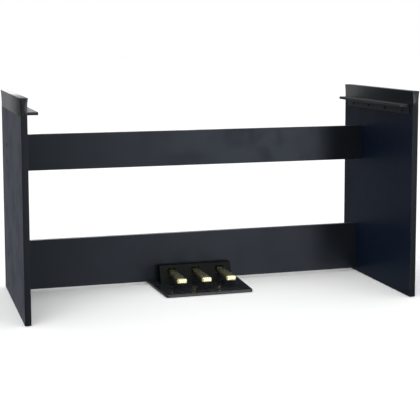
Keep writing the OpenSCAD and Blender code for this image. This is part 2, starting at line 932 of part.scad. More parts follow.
// Circuit board under the arms, with the connector for the socket's lead
module sensor_board() {
    color("#2f6b3c") {
        block([-sensor_board_w / 2, sensor_board_y, board_z], [sensor_board_w, sensor_board_d, board_thick]);
        block([socket_x - 5, sensor_board_y + sensor_board_d - 9, board_z], [10, 9, board_thick + plug_h]);
    }
}

// Reflective sensors, one under each arm
module pedal_sensors() {
    color("#101010")
        for (x = pedal_xs)
            block([x - 4, sensor_board_y + 8, board_z + board_thick], [8, 10, sensor_h]);
}

// Round panel socket for the pedal cable
module pedal_socket() {
    color("#111214")
        difference() {
            union() {
                rod_y([socket_x, rear_cover_y, socket_z], socket_flange_d, socket_flange_t);
                rod_y([socket_x, rear_cover_y + socket_flange_t - socket_l, socket_z], socket_d, socket_l);
            }
            rod_y([socket_x, rear_cover_y + socket_flange_t - socket_bore_l, socket_z],
                socket_bore_d, socket_bore_l + 1);
        }
}

// Lead from the sensor board to the socket, inside the rear cover
module socket_lead() {
    lead_start = sensor_board_y + sensor_board_d;
    color("#26262a")
        rod_y([socket_x, lead_start, socket_z], lead_d,
            rear_cover_y + socket_flange_t - socket_l - lead_start);
}

left_side_panel();
right_side_panel();
panel_edge_bands();
panel_glides();
left_top_cap();
right_top_cap();
cap_dowels();
left_support_bracket();
right_support_bracket();
bracket_screws();
upper_rail();
lower_rail();
rail_dowels();
rail_bolts();
barrel_nuts();
bolt_covers();
pedal_base_plate();
plate_pads();
rail_screws();
pedal_housing();
housing_screws();
pedal_rear_cover();
rear_cover_screws();
pedal_chassis();
chassis_screws();
pedal_axle();
axle_clips();
axle_spacers();
soft_pedal();
sostenuto_pedal();
damper_pedal();
soft_pedal_bush();
sostenuto_pedal_bush();
damper_pedal_bush();
soft_pedal_spring();
sostenuto_pedal_spring();
damper_pedal_spring();
rest_felts();
down_felts();
sensor_board();
pedal_sensors();
pedal_socket();
socket_lead();
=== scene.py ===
# A black furniture stand for a stage piano, with a gold triple pedal unit, set up as a studio picture.
# Metres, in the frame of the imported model: +X right, +Y back, +Z up, the floor at z = 0.
import json
import math
import bmesh
import bpy
import numpy as np
from mathutils import Matrix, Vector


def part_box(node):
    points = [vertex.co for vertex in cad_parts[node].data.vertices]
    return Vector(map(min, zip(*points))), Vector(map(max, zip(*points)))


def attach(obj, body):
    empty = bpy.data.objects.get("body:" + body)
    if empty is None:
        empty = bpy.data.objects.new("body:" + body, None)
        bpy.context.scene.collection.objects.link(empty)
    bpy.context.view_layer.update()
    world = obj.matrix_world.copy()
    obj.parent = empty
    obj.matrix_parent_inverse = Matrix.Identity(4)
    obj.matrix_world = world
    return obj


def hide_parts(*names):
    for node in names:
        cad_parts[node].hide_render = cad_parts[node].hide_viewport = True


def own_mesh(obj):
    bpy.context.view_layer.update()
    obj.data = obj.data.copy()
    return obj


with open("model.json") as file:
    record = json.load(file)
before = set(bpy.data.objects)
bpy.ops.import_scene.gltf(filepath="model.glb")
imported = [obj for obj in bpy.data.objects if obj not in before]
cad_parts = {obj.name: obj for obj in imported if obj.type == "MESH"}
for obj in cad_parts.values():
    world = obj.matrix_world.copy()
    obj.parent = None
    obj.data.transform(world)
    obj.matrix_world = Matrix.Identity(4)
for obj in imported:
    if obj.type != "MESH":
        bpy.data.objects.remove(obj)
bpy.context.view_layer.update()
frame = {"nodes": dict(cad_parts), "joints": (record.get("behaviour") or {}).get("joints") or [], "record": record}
nodes = frame["nodes"]
bodies = frame["record"]["behaviour"]["bodies"]
bodyOfNode = {node: body for body, members in bodies.items() for node in members}
hingeOfBody = {joint["child"]: joint for joint in frame["joints"]}
mm = 0.001


class Wire:
    # One socket of a node tree. Operators on wires and numbers add Math nodes to that tree.
    def __init__(self, tree, socket):
        self.tree = tree
        self.socket = socket

    def node(self, kind, settings=None, inputs=None, out=0):
        made = self.tree.nodes.new("ShaderNode" + kind)
        for key, value in (settings or {}).items():
            setattr(made, key, value)
        for key, value in (inputs or {}).items():
            if isinstance(value, Wire):
                self.tree.links.new(value.socket, made.inputs[key])
            else:
                made.inputs[key].default_value = value
        return Wire(self.tree, made.outputs[out])

    def math(self, operation, *values):
        return self.node("Math", {"operation": operation}, dict(enumerate(values)))

    def __add__(self, other):
        return self.math("ADD", self, other)

    def __sub__(self, other):
        return self.math("SUBTRACT", self, other)

    def __rsub__(self, other):
        return self.math("SUBTRACT", other, self)

    def __mul__(self, other):
        return self.math("MULTIPLY", self, other)

    __radd__ = __add__
    __rmul__ = __mul__

    def least(self, other):
        return self.math("MINIMUM", self, other)

    def most(self, other):
        return self.math("MAXIMUM", self, other)

    def size(self):
        return self.math("ABSOLUTE", self)

    def ramp(self, low, high, start=0.0, end=1.0):  # start at low, end at high, smooth between, flat beyond
        settings = {"interpolation_type": "SMOOTHSTEP", "clamp": True}
        return self.node("MapRange", settings, {0: self, 1: low, 2: high, 3: start, 4: end})

    def mix(self, colourA, colourB):  # this value picks between two colours
        return self.node("Mix", {"data_type": "RGBA"}, {0: self, 6: colourA, 7: colourB}, out=2)

    def folded(self):  # the same pattern on both sides of the stand
        return self.node("VectorMath", {"operation": "ABSOLUTE"}, {0: self})

    def stretched(self, scale):
        return self.node("Mapping", {}, {"Vector": self, "Scale": scale})

    def noise(self, scale, detail=3.0, roughness=0.5):
        inputs = {"Vector": self, "Scale": scale, "Detail": detail, "Roughness": roughness}
        return self.node("TexNoise", {}, inputs)

    def patches(self, scale, detail=3.0, roughness=0.5, low=0.35, high=0.65):  # soft spots, from 0 to 1
        return self.noise(scale, detail, roughness).ramp(low, high)

    def cells(self, scale):  # flat cells, each with a random colour of its own
        return self.node("TexVoronoi", {"feature": "F1"}, {"Vector": self, "Scale": scale}, out=1)

    def axes(self):
        return [self.node("SeparateXYZ", {}, {"Vector": self}, out=i) for i in range(3)]


def tint(colour, share=1.0):
    return (colour[0] * share, colour[1] * share, colour[2] * share, 1)


def startFinish(name, **fixed):
    # a new material with its shader's fixed inputs set, and the wire of Object coordinates
    made = bpy.data.materials.new(name)
    made.use_nodes = True
    shader = made.node_tree.nodes["Principled BSDF"]
    for key, value in fixed.items():
        shader.inputs[key.replace("_", " ")].default_value = value
    place = Wire(made.node_tree, made.node_tree.nodes.new("ShaderNodeTexCoord").outputs["Object"])
    return made, shader, place


def feed(shader, colour=None, roughness=None, height=None, strength=0.3, depth=0.1 * mm):
    # what varies over the surface: a colour, a roughness and a bump height
    links = shader.id_data.links
    if colour is not None:
        links.new(colour.socket, shader.inputs["Base Color"])
    if roughness is not None:
        links.new(roughness.socket, shader.inputs["Roughness"])
    if height is not None:
        bump = height.node("Bump", {}, {"Height": height, "Strength": strength, "Distance": depth})
        links.new(bump.socket, shader.inputs["Normal"])


def edgeDistance(place, box):
    # distance to a board's nearest edge: the middle one of the distances to its three pairs of faces
    low, high = box
    a, b, c = [(axis - low[i]).size().least((high[i] - axis).size()) for i, axis in enumerate(place.axes())]
    return a.least(b).most(a.most(b).least(c))


def wearSpots(distance, place, look, low=0.4, high=0.65):
    # bare spots along the edges: a share that falls to 0 at the wear width, times patches
    return distance.ramp(look["wearWidth"], 0.0) * place.patches(look["wearScale"], 3, 0.5, low, high)


def mottled(patches, look, dark, light):
    # the tone, darker and lighter in patches
    return patches.mix(tint(look["tone"], dark), tint(look["tone"], light))


meshing = {"weld": 0.001 * mm, "flat": 0.3, "corner": 40, "sharp": 35, "broad": 1 * mm}  # angles in degrees


def quads(rows, columns, wrapRows, wrapColumns):
    # each cell of a grid of points, as the four point numbers round it
    row = np.arange(rows if wrapRows else rows - 1)[:, None]
    column = np.arange(columns if wrapColumns else columns - 1)[None, :]
    nextRow, nextColumn = (row + 1) % rows, (column + 1) % columns
    corners = (row * columns + column, nextRow * columns + column,
               nextRow * columns + nextColumn, row * columns + nextColumn)
    return np.stack(np.broadcast_arrays(*corners), -1).reshape(-1, 4)


def settle(piece, node, finish):
    # a piece takes its finish, rides with its node's body and hides its node
    piece.data.materials.clear()
    piece.data.materials.append(finish)
    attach(piece, bodyOfNode[node])
    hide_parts(node)
    return piece


def surface(name, grids, sharpAngle=meshing["sharp"]):
    # one mesh from several grids, each (points, wrapRows, wrapColumns); poles and seams are merged shut
    points, faces, count = [], [], 0
    for grid, wrapRows, wrapColumns in grids:
        faces.append(quads(grid.shape[0], grid.shape[1], wrapRows, wrapColumns) + count)
        points.append(grid.reshape(-1, 3))
        count += grid.shape[0] * grid.shape[1]
    mesh = bpy.data.meshes.new(name)
    mesh.from_pydata(np.concatenate(points).tolist(), [], np.concatenate(faces).tolist())
    mesh.shade_smooth()
    work = bmesh.new()
    work.from_mesh(mesh)
    bmesh.ops.remove_doubles(work, verts=work.verts, dist=meshing["weld"])
    bmesh.ops.recalc_face_normals(work, faces=work.faces)
    bpy.data.meshes.remove(mesh)
    return place(name, work, sharpAngle)


def place(name, work, sharpAngle):
    # a finished bmesh becomes an object whose faces meet sharply above an angle; its flat faces stay flat
    smooth = [face.smooth for face in work.faces]
    mesh = bpy.data.meshes.new(name)
    work.to_mesh(mesh)
    work.free()
    mesh.set_sharp_from_angle(angle=math.radians(sharpAngle))
    mesh.polygons.foreach_set("use_smooth", smooth)
    piece = bpy.data.objects.new(name, mesh)
    bpy.context.scene.collection.objects.link(piece)
    return piece


def eased(name, node, width, shortest=1.2 * mm, segments=3, where=None):
    # a merged copy of a node's mesh whose sharp outward edges longer than the shortest are rounded off, only
    # those whose middles pass the test where one is given; broad faces stay flat and all the others are smooth
    work = bmesh.new()
    work.from_mesh(nodes[node].data)
    bmesh.ops.remove_doubles(work, verts=work.verts, dist=meshing["weld"])
    flat, corner = math.radians(meshing["flat"]), math.radians(meshing["corner"])
    bmesh.ops.dissolve_limit(work, angle_limit=flat, verts=work.verts, edges=work.edges)
    chosen = [edge for edge in work.edges
              if len(edge.link_faces) == 2 and edge.calc_face_angle_signed(0) > corner
              and edge.calc_length() > shortest
              and (where is None or where((edge.verts[0].co + edge.verts[1].co) / 2))]
    bmesh.ops.bevel(work, geom=chosen, offset=width, offset_type="OFFSET", segments=segments, profile=0.5,
                    affect="EDGES", clamp_overlap=False)
    for face in work.faces:
        face.smooth = face.calc_area() < meshing["broad"] * face.calc_perimeter()
    return place(name, work, meshing["sharp"])


def solidsOf(node):
    # boxes of a node's separate solids: the lowest label spreads over touching triangles until it settles
    mesh = nodes[node].data
    points = np.zeros(len(mesh.vertices) * 3)
    mesh.vertices.foreach_get("co", points)
    corners = np.zeros(len(mesh.loops), int)
    mesh.loops.foreach_get("vertex_index", corners)
    welded, index = np.unique(np.round(points.reshape(-1, 3), 6), axis=0, return_inverse=True)
    triangles = index.ravel()[corners].reshape(-1, 3)
    label = np.arange(len(welded))
    settled = False
    while not settled:
        spread = label.copy()
        np.minimum.at(spread, triangles.ravel(), np.repeat(label[triangles].min(1), 3))
        spread = spread[spread]
        settled = (spread == label).all()
        label = spread
    found = [welded[label == one] for one in np.unique(label)]
    return [(solid.min(0), solid.max(0)) for solid in found]


def rounded(corners, radius, closed=False, steps=4):
    # a polyline whose corners become quadratic curves that start and end a radius away from each corner;
    # the radius is one number or one for each corner
    corners = np.array(corners, float)
    radius = np.reshape(radius, (-1, 1))
    back, ahead = np.roll(corners, 1, 0) - corners, np.roll(corners, -1, 0) - corners
    backLength = np.linalg.norm(back, axis=1, keepdims=True)
    aheadLength = np.linalg.norm(ahead, axis=1, keepdims=True)
    enter = corners + back * np.minimum(radius / backLength, 0.48)
    leave = corners + ahead * np.minimum(radius / aheadLength, 0.48)
    t = np.linspace(0, 1, steps + 1)[:, None, None]
    curves = ((1 - t) ** 2 * enter + 2 * t * (1 - t) * corners + t ** 2 * leave).transpose(1, 0, 2)
    if closed:
        line = curves.reshape(-1, 2)
    else:
        line = np.vstack([corners[:1], curves[1:-1].reshape(-1, 2), corners[-1:]])
    return line[np.linalg.norm(line - np.roll(line, 1, 0), axis=1) > 1e-8]


def spun(along, radius, start, axis):
    # rings round an axis: point = start + along * axis + radius * (cos turn, sin turn) across it
    direction = np.array(axis, float)
    across = np.array([direction[1], direction[2], direction[0]])
    upward = np.cross(direction, across)
    turn = np.linspace(0, 2 * math.pi, radius.shape[1], endpoint=False)
    ring = np.cos(turn)[:, None] * across + np.sin(turn)[:, None] * upward
    return np.array(start) + direction * along[:, None, None] + radius[..., None] * ring


def turned(profile, start, axis, sides=32, closed=False, shape=None):
    # a profile of (distance along the axis, radius) spun round the axis through a start point; with a shape,
    # the third column is the share of it in each ring's radius, and the shape is a factor for each angle
    radius = profile[:, 1, None] * np.ones(sides)
    if shape is not None:
        turn = np.linspace(0, 2 * math.pi, sides, endpoint=False)
        radius = radius * (1 + profile[:, 2, None] * (shape(turn) - 1))
    return spun(profile[:, 0], radius, start, axis), closed, True


def carried(section, stations, insets, order):
    # an outline carried along a straight path and drawn in by each station's inset, its ends closed on their
    # middles; the order says which axes the outline's two coordinates and the path lie on
    turnedLeft = np.sum(section[:, 0] * np.roll(section[:, 1], -1) - section[:,
                                                                             1] * np.roll(section[:, 0], -1))
    tangent = np.roll(section, -1, 0) - np.roll(section, 1, 0)
    inward = np.stack([-tangent[:, 1], tangent[:, 0]], 1) * np.sign(turnedLeft)
    inward /= np.linalg.norm(inward, axis=1, keepdims=True)
    rings = section + inward * np.reshape(insets, (-1, 1, 1))
    middle = np.broadcast_to((section.min(0) + section.max(0)) / 2, (1,) + section.shape)
    rings = np.concatenate([middle, rings, middle])
    points = np.empty(rings.shape[:2] + (3,))
    points[..., order[0]], points[..., order[1]] = rings[..., 0], rings[..., 1]
    points[..., order[2]] = np.concatenate([stations[:1], stations, stations[-1:]])[:, None]
    return points, False, True


def capped(rings):
    # rings of points whose first and last are closed on their middles
    ends = [np.broadcast_to(ring.mean(0), (1,) + ring.shape) for ring in (rings[0], rings[-1])]
    return np.concatenate([ends[0], rings, ends[1]]), False, True


def roundEnds(low, high, radius, steps=4):
    # stations and insets of a path whose two ends are rounded off by quarter circles
    angle = np.linspace(0, math.pi / 2, steps)
    along, inset = radius * (1 - np.cos(angle)), radius * (1 - np.sin(angle))
    return np.concatenate([low + along, high - along[::-1]]), np.concatenate([inset, inset[::-1]])


def middleRod(box, axis=0):
    # the start point, length and radius of a rod that fills a box along an axis
    low, high = np.array(box[0]), np.array(box[1])
    middle, size = (low + high) / 2, high - low
    start = middle.copy()
    start[axis] = low[axis]
    return start, size[axis], size[(axis + 1) % 3] / 2


def softBlock(box, radius, steps=5):
    # a box with round edges: each direction of a sphere, pushed out to the nearest corner's own small sphere
    low, high = np.array(box[0]), np.array(box[1])
    quarter = np.linspace(0.0, math.pi / 2, steps)
    around = np.concatenate([quarter + i * math.pi / 2 for i in range(4)])
    sideX = np.repeat([1, -1, -1, 1], steps)
    sideY = np.repeat([1, 1, -1, -1], steps)
    rise = np.concatenate([quarter - math.pi / 2, quarter])
    sideZ = np.repeat([-1, 1], steps)
    radius = min(radius, (high - low).min() * 0.49)
    core = (high - low) / 2 - radius
    x = core[0] * sideX + radius * np.cos(rise)[:, None] * np.cos(around)
    y = core[1] * sideY + radius * np.cos(rise)[:, None] * np.sin(around)
    z = np.repeat((core[2] * sideZ + radius * np.sin(rise))[:, None], len(around), 1)
    body = np.stack([x, y, z], -1)
    poles = [np.broadcast_to([[0, 0, side * (core[2] + radius)]], (1, len(around), 3)) for side in (-1, 1)]
    return np.concatenate([poles[0], body, poles[1]]) + (low + high) / 2, False, True


camera = {"place": (-1.0909, -3.7326, 0.927), "yaw": 16.523, "pitch": 6.171, "roll": -0.104,
          "lens": 93.39, "shift": -0.135}


def makeCamera(view):
    # looks along +Y, turned right by the yaw, down by the pitch and about its own axis by the roll
    lens = bpy.data.cameras.new("camera")
    lens.lens, lens.shift_y = view["lens"], view["shift"]
    eye = bpy.data.objects.new("camera", lens)
    level = Matrix.Rotation(math.radians(90 - view["pitch"]), 4, "X")
    heading = Matrix.Rotation(math.radians(-view["yaw"]), 4, "Z")
    tilt = Matrix.Rotation(math.radians(view["roll"]), 4, "Z")
    eye.matrix_world = Matrix.Translation(view["place"]) @ heading @ level @ tilt
    bpy.context.scene.collection.objects.link(eye)
    bpy.context.scene.camera = eye


studio = {"sky": 1.08, "dim": 0.07, "skyRise": (0.04, 0.45), "tint": (0.99, 1.0, 1.01), "key": 0.85,
          "keySpread": 40, "keyTurn": (38, -30), "floorTone": (0.95, 0.945, 0.94), "floorHalf": 40.0}
cards = {"frontLow": {"middle": (0.28, -0.9, -0.34), "half": (0.07, 0.2, 0.12), "soft": 0.08, "level": 2.3},
         "frontMiddle": {"middle": (0.32, -0.93, -0.04), "half": (0.05, 0.2, 0.04), "soft": 0.07,
                         "level": 11.0},
         "frontRight": {"middle": (0.55, -0.8, 0.0), "half": (0.12, 0.3, 0.08), "soft": 0.12, "level": 1.5},
         "frontLeft": {"middle": (-0.6, -0.65, -0.4), "half": (0.2, 0.2, 0.15), "soft": 0.15, "level": 0.9},
         "backLeft": {"middle": (-0.13, 0.97, -0.17), "half": (0.1, 0.2, 0.15), "soft": 0.08, "level": 0.62},
         "backHorizon": {"middle": (0.1, 0.95, 0.09), "half": (0.15, 0.3, 0.05), "soft": 0.07, "level": 4.5}}


def makeStudio(look, cards):
    # a soft sky above, a dim surround below the horizon, and soft-edged cards set in certain directions;
    # the camera itself sees plain white
    world = bpy.data.worlds.new("studio")
    world.use_nodes = True
    tree = world.node_tree
    direction = Wire(tree, tree.nodes.new("ShaderNodeTexCoord").outputs["Generated"]).axes()
    level = direction[2].ramp(*look["skyRise"], look["dim"], look["sky"])
    for card in cards.values():
        share = card["level"]
        for axis, middle, half in zip(direction, card["middle"], card["half"]):
            share = (axis - middle).size().ramp(half + card["soft"], half) * share
        level = level.most(share)
    red, green, blue = look["tint"]
    channels = {"Red": level * red, "Green": level * green, "Blue": level * blue}
    surround = level.node("CombineColor", {}, channels)
    seen = Wire(tree, tree.nodes.new("ShaderNodeLightPath").outputs["Is Camera Ray"])
    tree.links.new(seen.mix(surround, (1, 1, 1, 1)).socket, tree.nodes["Background"].inputs["Color"])
    world.cycles.sampling_method = "NONE"
    bpy.context.scene.world = world
    sun = bpy.data.lights.new("key", "SUN")
    sun.energy, sun.angle = look["key"], math.radians(look["keySpread"])
    key = bpy.data.objects.new("key", sun)
    key.rotation_euler = (math.radians(look["keyTurn"][0]), 0, math.radians(look["keyTurn"][1]))
    bpy.context.scene.collection.objects.link(key)
    bpy.context.scene.view_settings.view_transform = "Standard"


def makeFloor(look):
    # one pale square, with a faint mottle
    half = look["floorHalf"]
    mesh = bpy.data.meshes.new("floor")
    corners = [(-half, -half, 0), (half, -half, 0), (half, half, 0), (-half, half, 0)]
    mesh.from_pydata(corners, [], [(0, 1, 2, 3)])
    floor = bpy.data.objects.new("floor", mesh)
    bpy.context.scene.collection.objects.link(floor)
    made, shader, place = startFinish("pale_floor", Roughness=0.9, Specular_IOR_Level=0.2)
    feed(shader, place.noise(3, 2).mix(tint(look["floorTone"]), tint(look["floorTone"], 0.985)))
    floor.data.materials.append(made)
    floor.visible_glossy = False


makeCamera(camera)
makeStudio(studio, cards)
makeFloor(studio)
print("camera, studio and floor made")

boards = {"panel": {"tone": (0.0022, 0.0052, 0.0118), "gloss": 0.12, "haze": 0.03, "roughness": 0.4,
                    "pores": 0.12,
                    "grain": (700, 700, 40)},
          "rail": {"tone": (0.0078, 0.0092, 0.0122), "gloss": 0.25, "haze": 0.008, "roughness": 0.3,
                   "pores": 0.2,
                   "grain": (40, 700, 700)},
          "glossTint": (0.75, 0.85, 1.0, 1), "hazeTint": (0.3, 0.42, 1.0, 1), "cloudScale": 2.5,
          "smudgeScale": 11,
          "wearWidth": 1.6 * mm, "wearScale": 70, "wearTone": (0.05, 0.048, 0.046), "easing": 0.5 * mm,
          "panelShortest": 20 * mm, "railShortest": 15 * mm}


def laminate(name, box, foil, look):
    # foil-faced board: a faint cloudy tone, fine pores along the grain and polished-off edges
    made, shader, place = startFinish(name, Specular_IOR_Level=foil["gloss"], Specular_Tint=look["glossTint"],
                                      Sheen_Weight=foil["haze"], Sheen_Tint=look["hazeTint"])
    pores = place.stretched(foil["grain"]).noise(1.0, 4, 0.6)
    wear = wearSpots(edgeDistance(place, box), place, look)
    colour = wear.mix(mottled(place.patches(look["cloudScale"], 2), foil, 0.85, 1.12), tint(look["wearTone"]))
    smudge = place.patches(look["smudgeScale"], 4, 0.6, 0.4, 0.7)
    feed(shader, colour, foil["roughness"] + 0.06 * smudge - 0.1 * wear, pores, foil["pores"], 0.06 * mm)
    return made


def makeBoards(look):
    # two panels and two rails: copies of the plain boards with eased edges, each foil's wear at its own edges
    for side in ("left", "right"):
        node = side + "_side_panel"
        finish = laminate(side + "_panel_laminate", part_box(node), look["panel"], look)
        settle(eased(side + "_panel", node, look["easing"], look["panelShortest"]), node, finish)
    for part in ("upper", "lower"):
        node = part + "_rail"
        finish = laminate(part + "_rail_laminate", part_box(node), look["rail"], look)
        settle(eased(part + "_rail_board", node, look["easing"], look["railShortest"]), node, finish)


makeBoards(boards)
print("panels and rails made")

bands = {"round": 0.9 * mm, "inner": 0.15 * mm, "tone": (0.0045, 0.0070, 0.0105), "roughness": 0.38,
         "gloss": 0.2,
         "wearWidth": 0.7 * mm, "wearScale": 60, "wearTone": (0.06, 0.058, 0.055), "wearDepth": 22 * mm,
         "cloudScale": 9, "smudgeScale": 14, "grain": (700, 700, 40)}


def makeBands(look):
    # a thin strip with two round outer corners, carried up each panel's front and back edge
    grids = []
    for low, high in solidsOf("panel_edge_bands"):
        outer, inner = (low[1], high[1]) if low[1] < 0 else (high[1], low[1])
        corners = [(low[0], inner), (low[0], outer), (high[0], outer), (high[0], inner)]
        section = rounded(corners, [look["inner"], look["round"], look["round"], look["inner"]], closed=True)
        stations, insets = roundEnds(low[2], high[2], look["inner"])
        grids.append(carried(section, stations, insets, (0, 1, 2)))
    made, shader, place = startFinish("edge_band_foil", Specular_IOR_Level=look["gloss"])
    low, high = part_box("right_side_panel")
    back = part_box("panel_edge_bands")[1][1]
    band = ((low[0], back - look["wearDepth"], low[2]), (high[0], back, high[2]))
    wear = wearSpots(edgeDistance(place.folded(), band), place, look)
    cloud = place.stretched((1, 1, 0.1)).patches(look["cloudScale"])
    colour = wear.mix(mottled(cloud, look, 0.85, 1.15), tint(look["wearTone"]))
    pores = place.stretched(look["grain"]).noise(1.0, 3, 0.6)
    feed(shader, colour, look["roughness"] + 0.08 * place.noise(look["smudgeScale"], 3), pores, 0.2,
         0.05 * mm)
    settle(surface("edge_bands", grids), "panel_edge_bands", made)


makeBands(bands)

caps = {"flare": 3 * mm, "coveHeight": 44 * mm, "coveSteps": 14, "lip": 1.3 * mm, "foot": 0.5 * mm,
        "endRound": 0.9 * mm, "tone": (0.0036, 0.0056, 0.0080), "roughness": 0.33, "gloss": 0.35,
        "coat": 0.15,
        "coatRoughness": 0.15, "cloudScale": 14, "smudgeScale": 20, "rippleScale": 650,
        "wearWidth": 1.2 * mm, "wearScale": 55, "wearTone": (0.075, 0.073, 0.07)}


def lacquer(look):
    # a cloudy tone under a clear coat, with a faint ripple and rubbed edges
    made, shader, place = startFinish("cap_lacquer", Specular_IOR_Level=look["gloss"],
                                      Coat_Weight=look["coat"],
                                      Coat_Roughness=look["coatRoughness"])
    distance = edgeDistance(place.folded(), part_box("right_top_cap"))
    wear = wearSpots(distance, place, look, 0.45, 0.7)
    cloud = place.stretched((1, 0.12, 1)).patches(look["cloudScale"])
    colour = wear.mix(mottled(cloud, look, 0.88, 1.12), tint(look["wearTone"]))
    ripple = place.noise(look["rippleScale"], 2)
    feed(shader, colour, look["roughness"] + 0.08 * place.noise(look["smudgeScale"], 3), ripple, 0.06,
         0.05 * mm)
    return made


def makeCaps(look):
    # straight below, then a cove that leans out as a circle does:
    # half width = thickness / 2 + r - sqrt(r2 - rise2)
    finish = lacquer(look)
    radius = (look["coveHeight"] ** 2 + look["flare"] ** 2) / (2 * look["flare"])
    steps = look["coveSteps"]
    rise = np.linspace(0, look["coveHeight"], steps)
    lean = radius - np.sqrt(radius ** 2 - rise ** 2)
    for side in ("left", "right"):
        node = side + "_top_cap"
        low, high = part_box(node)
        middle, half = (low[0] + high[0]) / 2, (high[0] - low[0]) / 2 - look["flare"]
        cove = np.stack([half + lean, high[2] - look["coveHeight"] + rise], 1)
        outline = np.vstack([[half, low[2]], cove, cove[::-1] * (-1, 1), [-half, low[2]]])
        soft = np.zeros(len(outline))
        soft[[0, -1]] = look["foot"]
        soft[[steps, steps + 1]] = look["lip"]
        section = rounded(outline, soft, closed=True) + (middle, 0)
        stations, insets = roundEnds(low[1], high[1], look["endRound"])
        grid = carried(section, stations, insets, (0, 2, 1))
        settle(surface(side + "_cap", [grid]), node, finish)


makeCaps(caps)
print("bands and caps made")

brackets = {"easing": 0.9 * mm, "tone": (0.0055, 0.0085, 0.0115), "roughness": 0.42, "gloss": 0.5,
            "cloudScale": 18, "smudgeScale": 90, "grain": 1500}


def makeBrackets(look):
    # folded sheet with eased bends, in a fine-textured powder coat
    made, shader, place = startFinish("powder_coat", Specular_IOR_Level=look["gloss"])
    colour = mottled(place.patches(look["cloudScale"]), look, 0.85, 1.2)
    grit = place.noise(look["grain"], 2, 0.6)
    feed(shader, colour, look["roughness"] + 0.1 * place.noise(look["smudgeScale"], 2), grit, 0.35, 0.06 * mm)
    for side in ("left", "right"):
        node = side + "_support_bracket"
        settle(eased(side + "_bracket", node, look["easing"]), node, made)


makeBrackets(brackets)

# a head is its radius, height and dome; a socket is its radius and depth
fixings = {"bracketHead": (4.25 * mm, 2.4 * mm, 1.3 * mm), "cross": (2.1 * mm, 1.3 * mm),
           "crossHalfWidth": 0.55 * mm,
           "screwHead": (3.8 * mm, 2.6 * mm, 1.0 * mm), "hex": (1.5 * mm, 1.3 * mm), "screwShank": 2 * mm,
           "boltHead": (6.5 * mm, 3.5 * mm, 0.8 * mm), "key": (2.5 * mm, 2.2 * mm), "boltShank": 3 * mm,
           "threadPitch": 1.0 * mm, "threadDepth": 0.06, "sharp": 30, "nutEasing": 0.5 * mm,
           "nearEnd": 0.2 * mm}
metals = {"zinc": {"tones": ((0.55, 0.56, 0.60), (0.60, 0.57, 0.44)), "roughness": 0.22,
                   "grain": (300, 300, 300)},
          "black": {"tones": ((0.02, 0.02, 0.022), (0.035, 0.034, 0.03)), "roughness": 0.35,
                    "grain": (300, 300, 300)},
          "wire": {"tones": ((0.30, 0.31, 0.33), (0.42, 0.43, 0.45)), "roughness": 0.25,
                   "grain": (400, 400, 400)},
          "axle": {"tones": ((0.60, 0.61, 0.63), (0.68, 0.69, 0.70)), "roughness": 0.1,
                   "grain": (60, 900, 900)}}


def hexagon(turn):
    # distance to a hexagon's outline in each direction, as a share of its corner distance
    return math.cos(math.pi / 6) / np.cos(np.mod(turn, math.pi / 3) - math.pi / 6)


def crossShape(turn):
    # distance to a plus sign's outline in each direction, as a share of the length of its arms
    width = fixings["crossHalfWidth"] / fixings["cross"][0]
    offAxis = np.abs(np.mod(turn + math.pi / 4, math.pi / 2) - math.pi / 4)
    return np.minimum(1 / np.cos(offAxis), width / np.maximum(np.sin(offAxis), 1e-6))


def thread(start, end, radius, look, sides):
    # rings whose radius falls and rises once a turn and once a pitch, so that the low line runs as a helix
    rows = np.arange(start, end, look["threadPitch"] / 4)
    turn = np.linspace(0, 2 * math.pi, sides, endpoint=False)
    phase = rows[:, None] / look["threadPitch"] + turn[None, :] / (2 * math.pi)
    return rows, radius * (1 - look["threadDepth"] * np.abs(2 * np.mod(phase, 1) - 1))


def screw(start, axis, length, shankRadius, head, socket, shape, look, sides=24):
    # from the outer face in: the socket's floor and wall, the crown as a quarter of an ellipse, the head's
    # underside, the threaded shank and its blunt tip
    headRadius, headHeight, dome = head
    socketRadius, socketDepth = socket
    t = np.linspace(0, 1, 6)
    crown = np.stack([dome * (1 - np.cos(t * math.pi / 2)),
                      socketRadius + (headRadius - socketRadius) * np.sin(t * math.pi / 2)], 1)
    floor = [[socketDepth + 0.3 * mm, 0], [socketDepth, socketRadius * 0.9], [0.15 * mm, socketRadius]]
    rows = np.vstack([floor, crown, [[headHeight, headRadius], [headHeight, shankRadius]]])
    share = np.zeros(len(rows))
    share[1:4] = 1.0
    along, radius = thread(headHeight, length - shankRadius, shankRadius, look, sides)
    tip = np.array([[length - shankRadius * 0.4, shankRadius * 0.55], [length, 0]])
    parts = [turned(np.column_stack([rows, share]), start, axis, sides, shape=shape)[0],
             spun(along, radius, start, axis), turned(tip, start, axis, sides)[0]]
    return np.concatenate(parts), False, True


def metal(name, look):
    # bare metal: two tones in patches, and scratches that follow the grain
    made, shader, place = startFinish(name, Metallic=1.0)
    toneA, toneB = look["tones"]
    lines = place.stretched(look["grain"]).noise(1.0, 3, 0.7)
    colour = place.patches(60, 3, 0.5, 0.3, 0.7).mix(tint(toneA), tint(toneB))
    feed(shader, colour, look["roughness"] + 0.18 * lines, lines, 0.15, 0.03 * mm)
    return made


zinc = metal("zinc_plate", metals["zinc"])
blackZinc = metal("black_zinc_plate", metals["black"])


def crosswise(box, outward):
    # a fixing that lies across the stand: where its head's face is, its direction and its length; one that is
    # driven outward starts at its end nearer the stand's middle
    low, high = box
    side = 1 if high[0] < 0 else -1
    x = high[0] if (side > 0) == outward else low[0]
    start = (x, (low[1] + high[1]) / 2, (low[2] + high[2]) / 2)
    return start, (-side if outward else side, 0, 0), high[0] - low[0]


def standing(box):
    # a fixing that stands on end: the middle of its lower end, its direction and its length
    low, high = box
    return ((low[0] + high[0]) / 2, (low[1] + high[1]) / 2, low[2]), (0, 0, 1), high[2] - low[2]


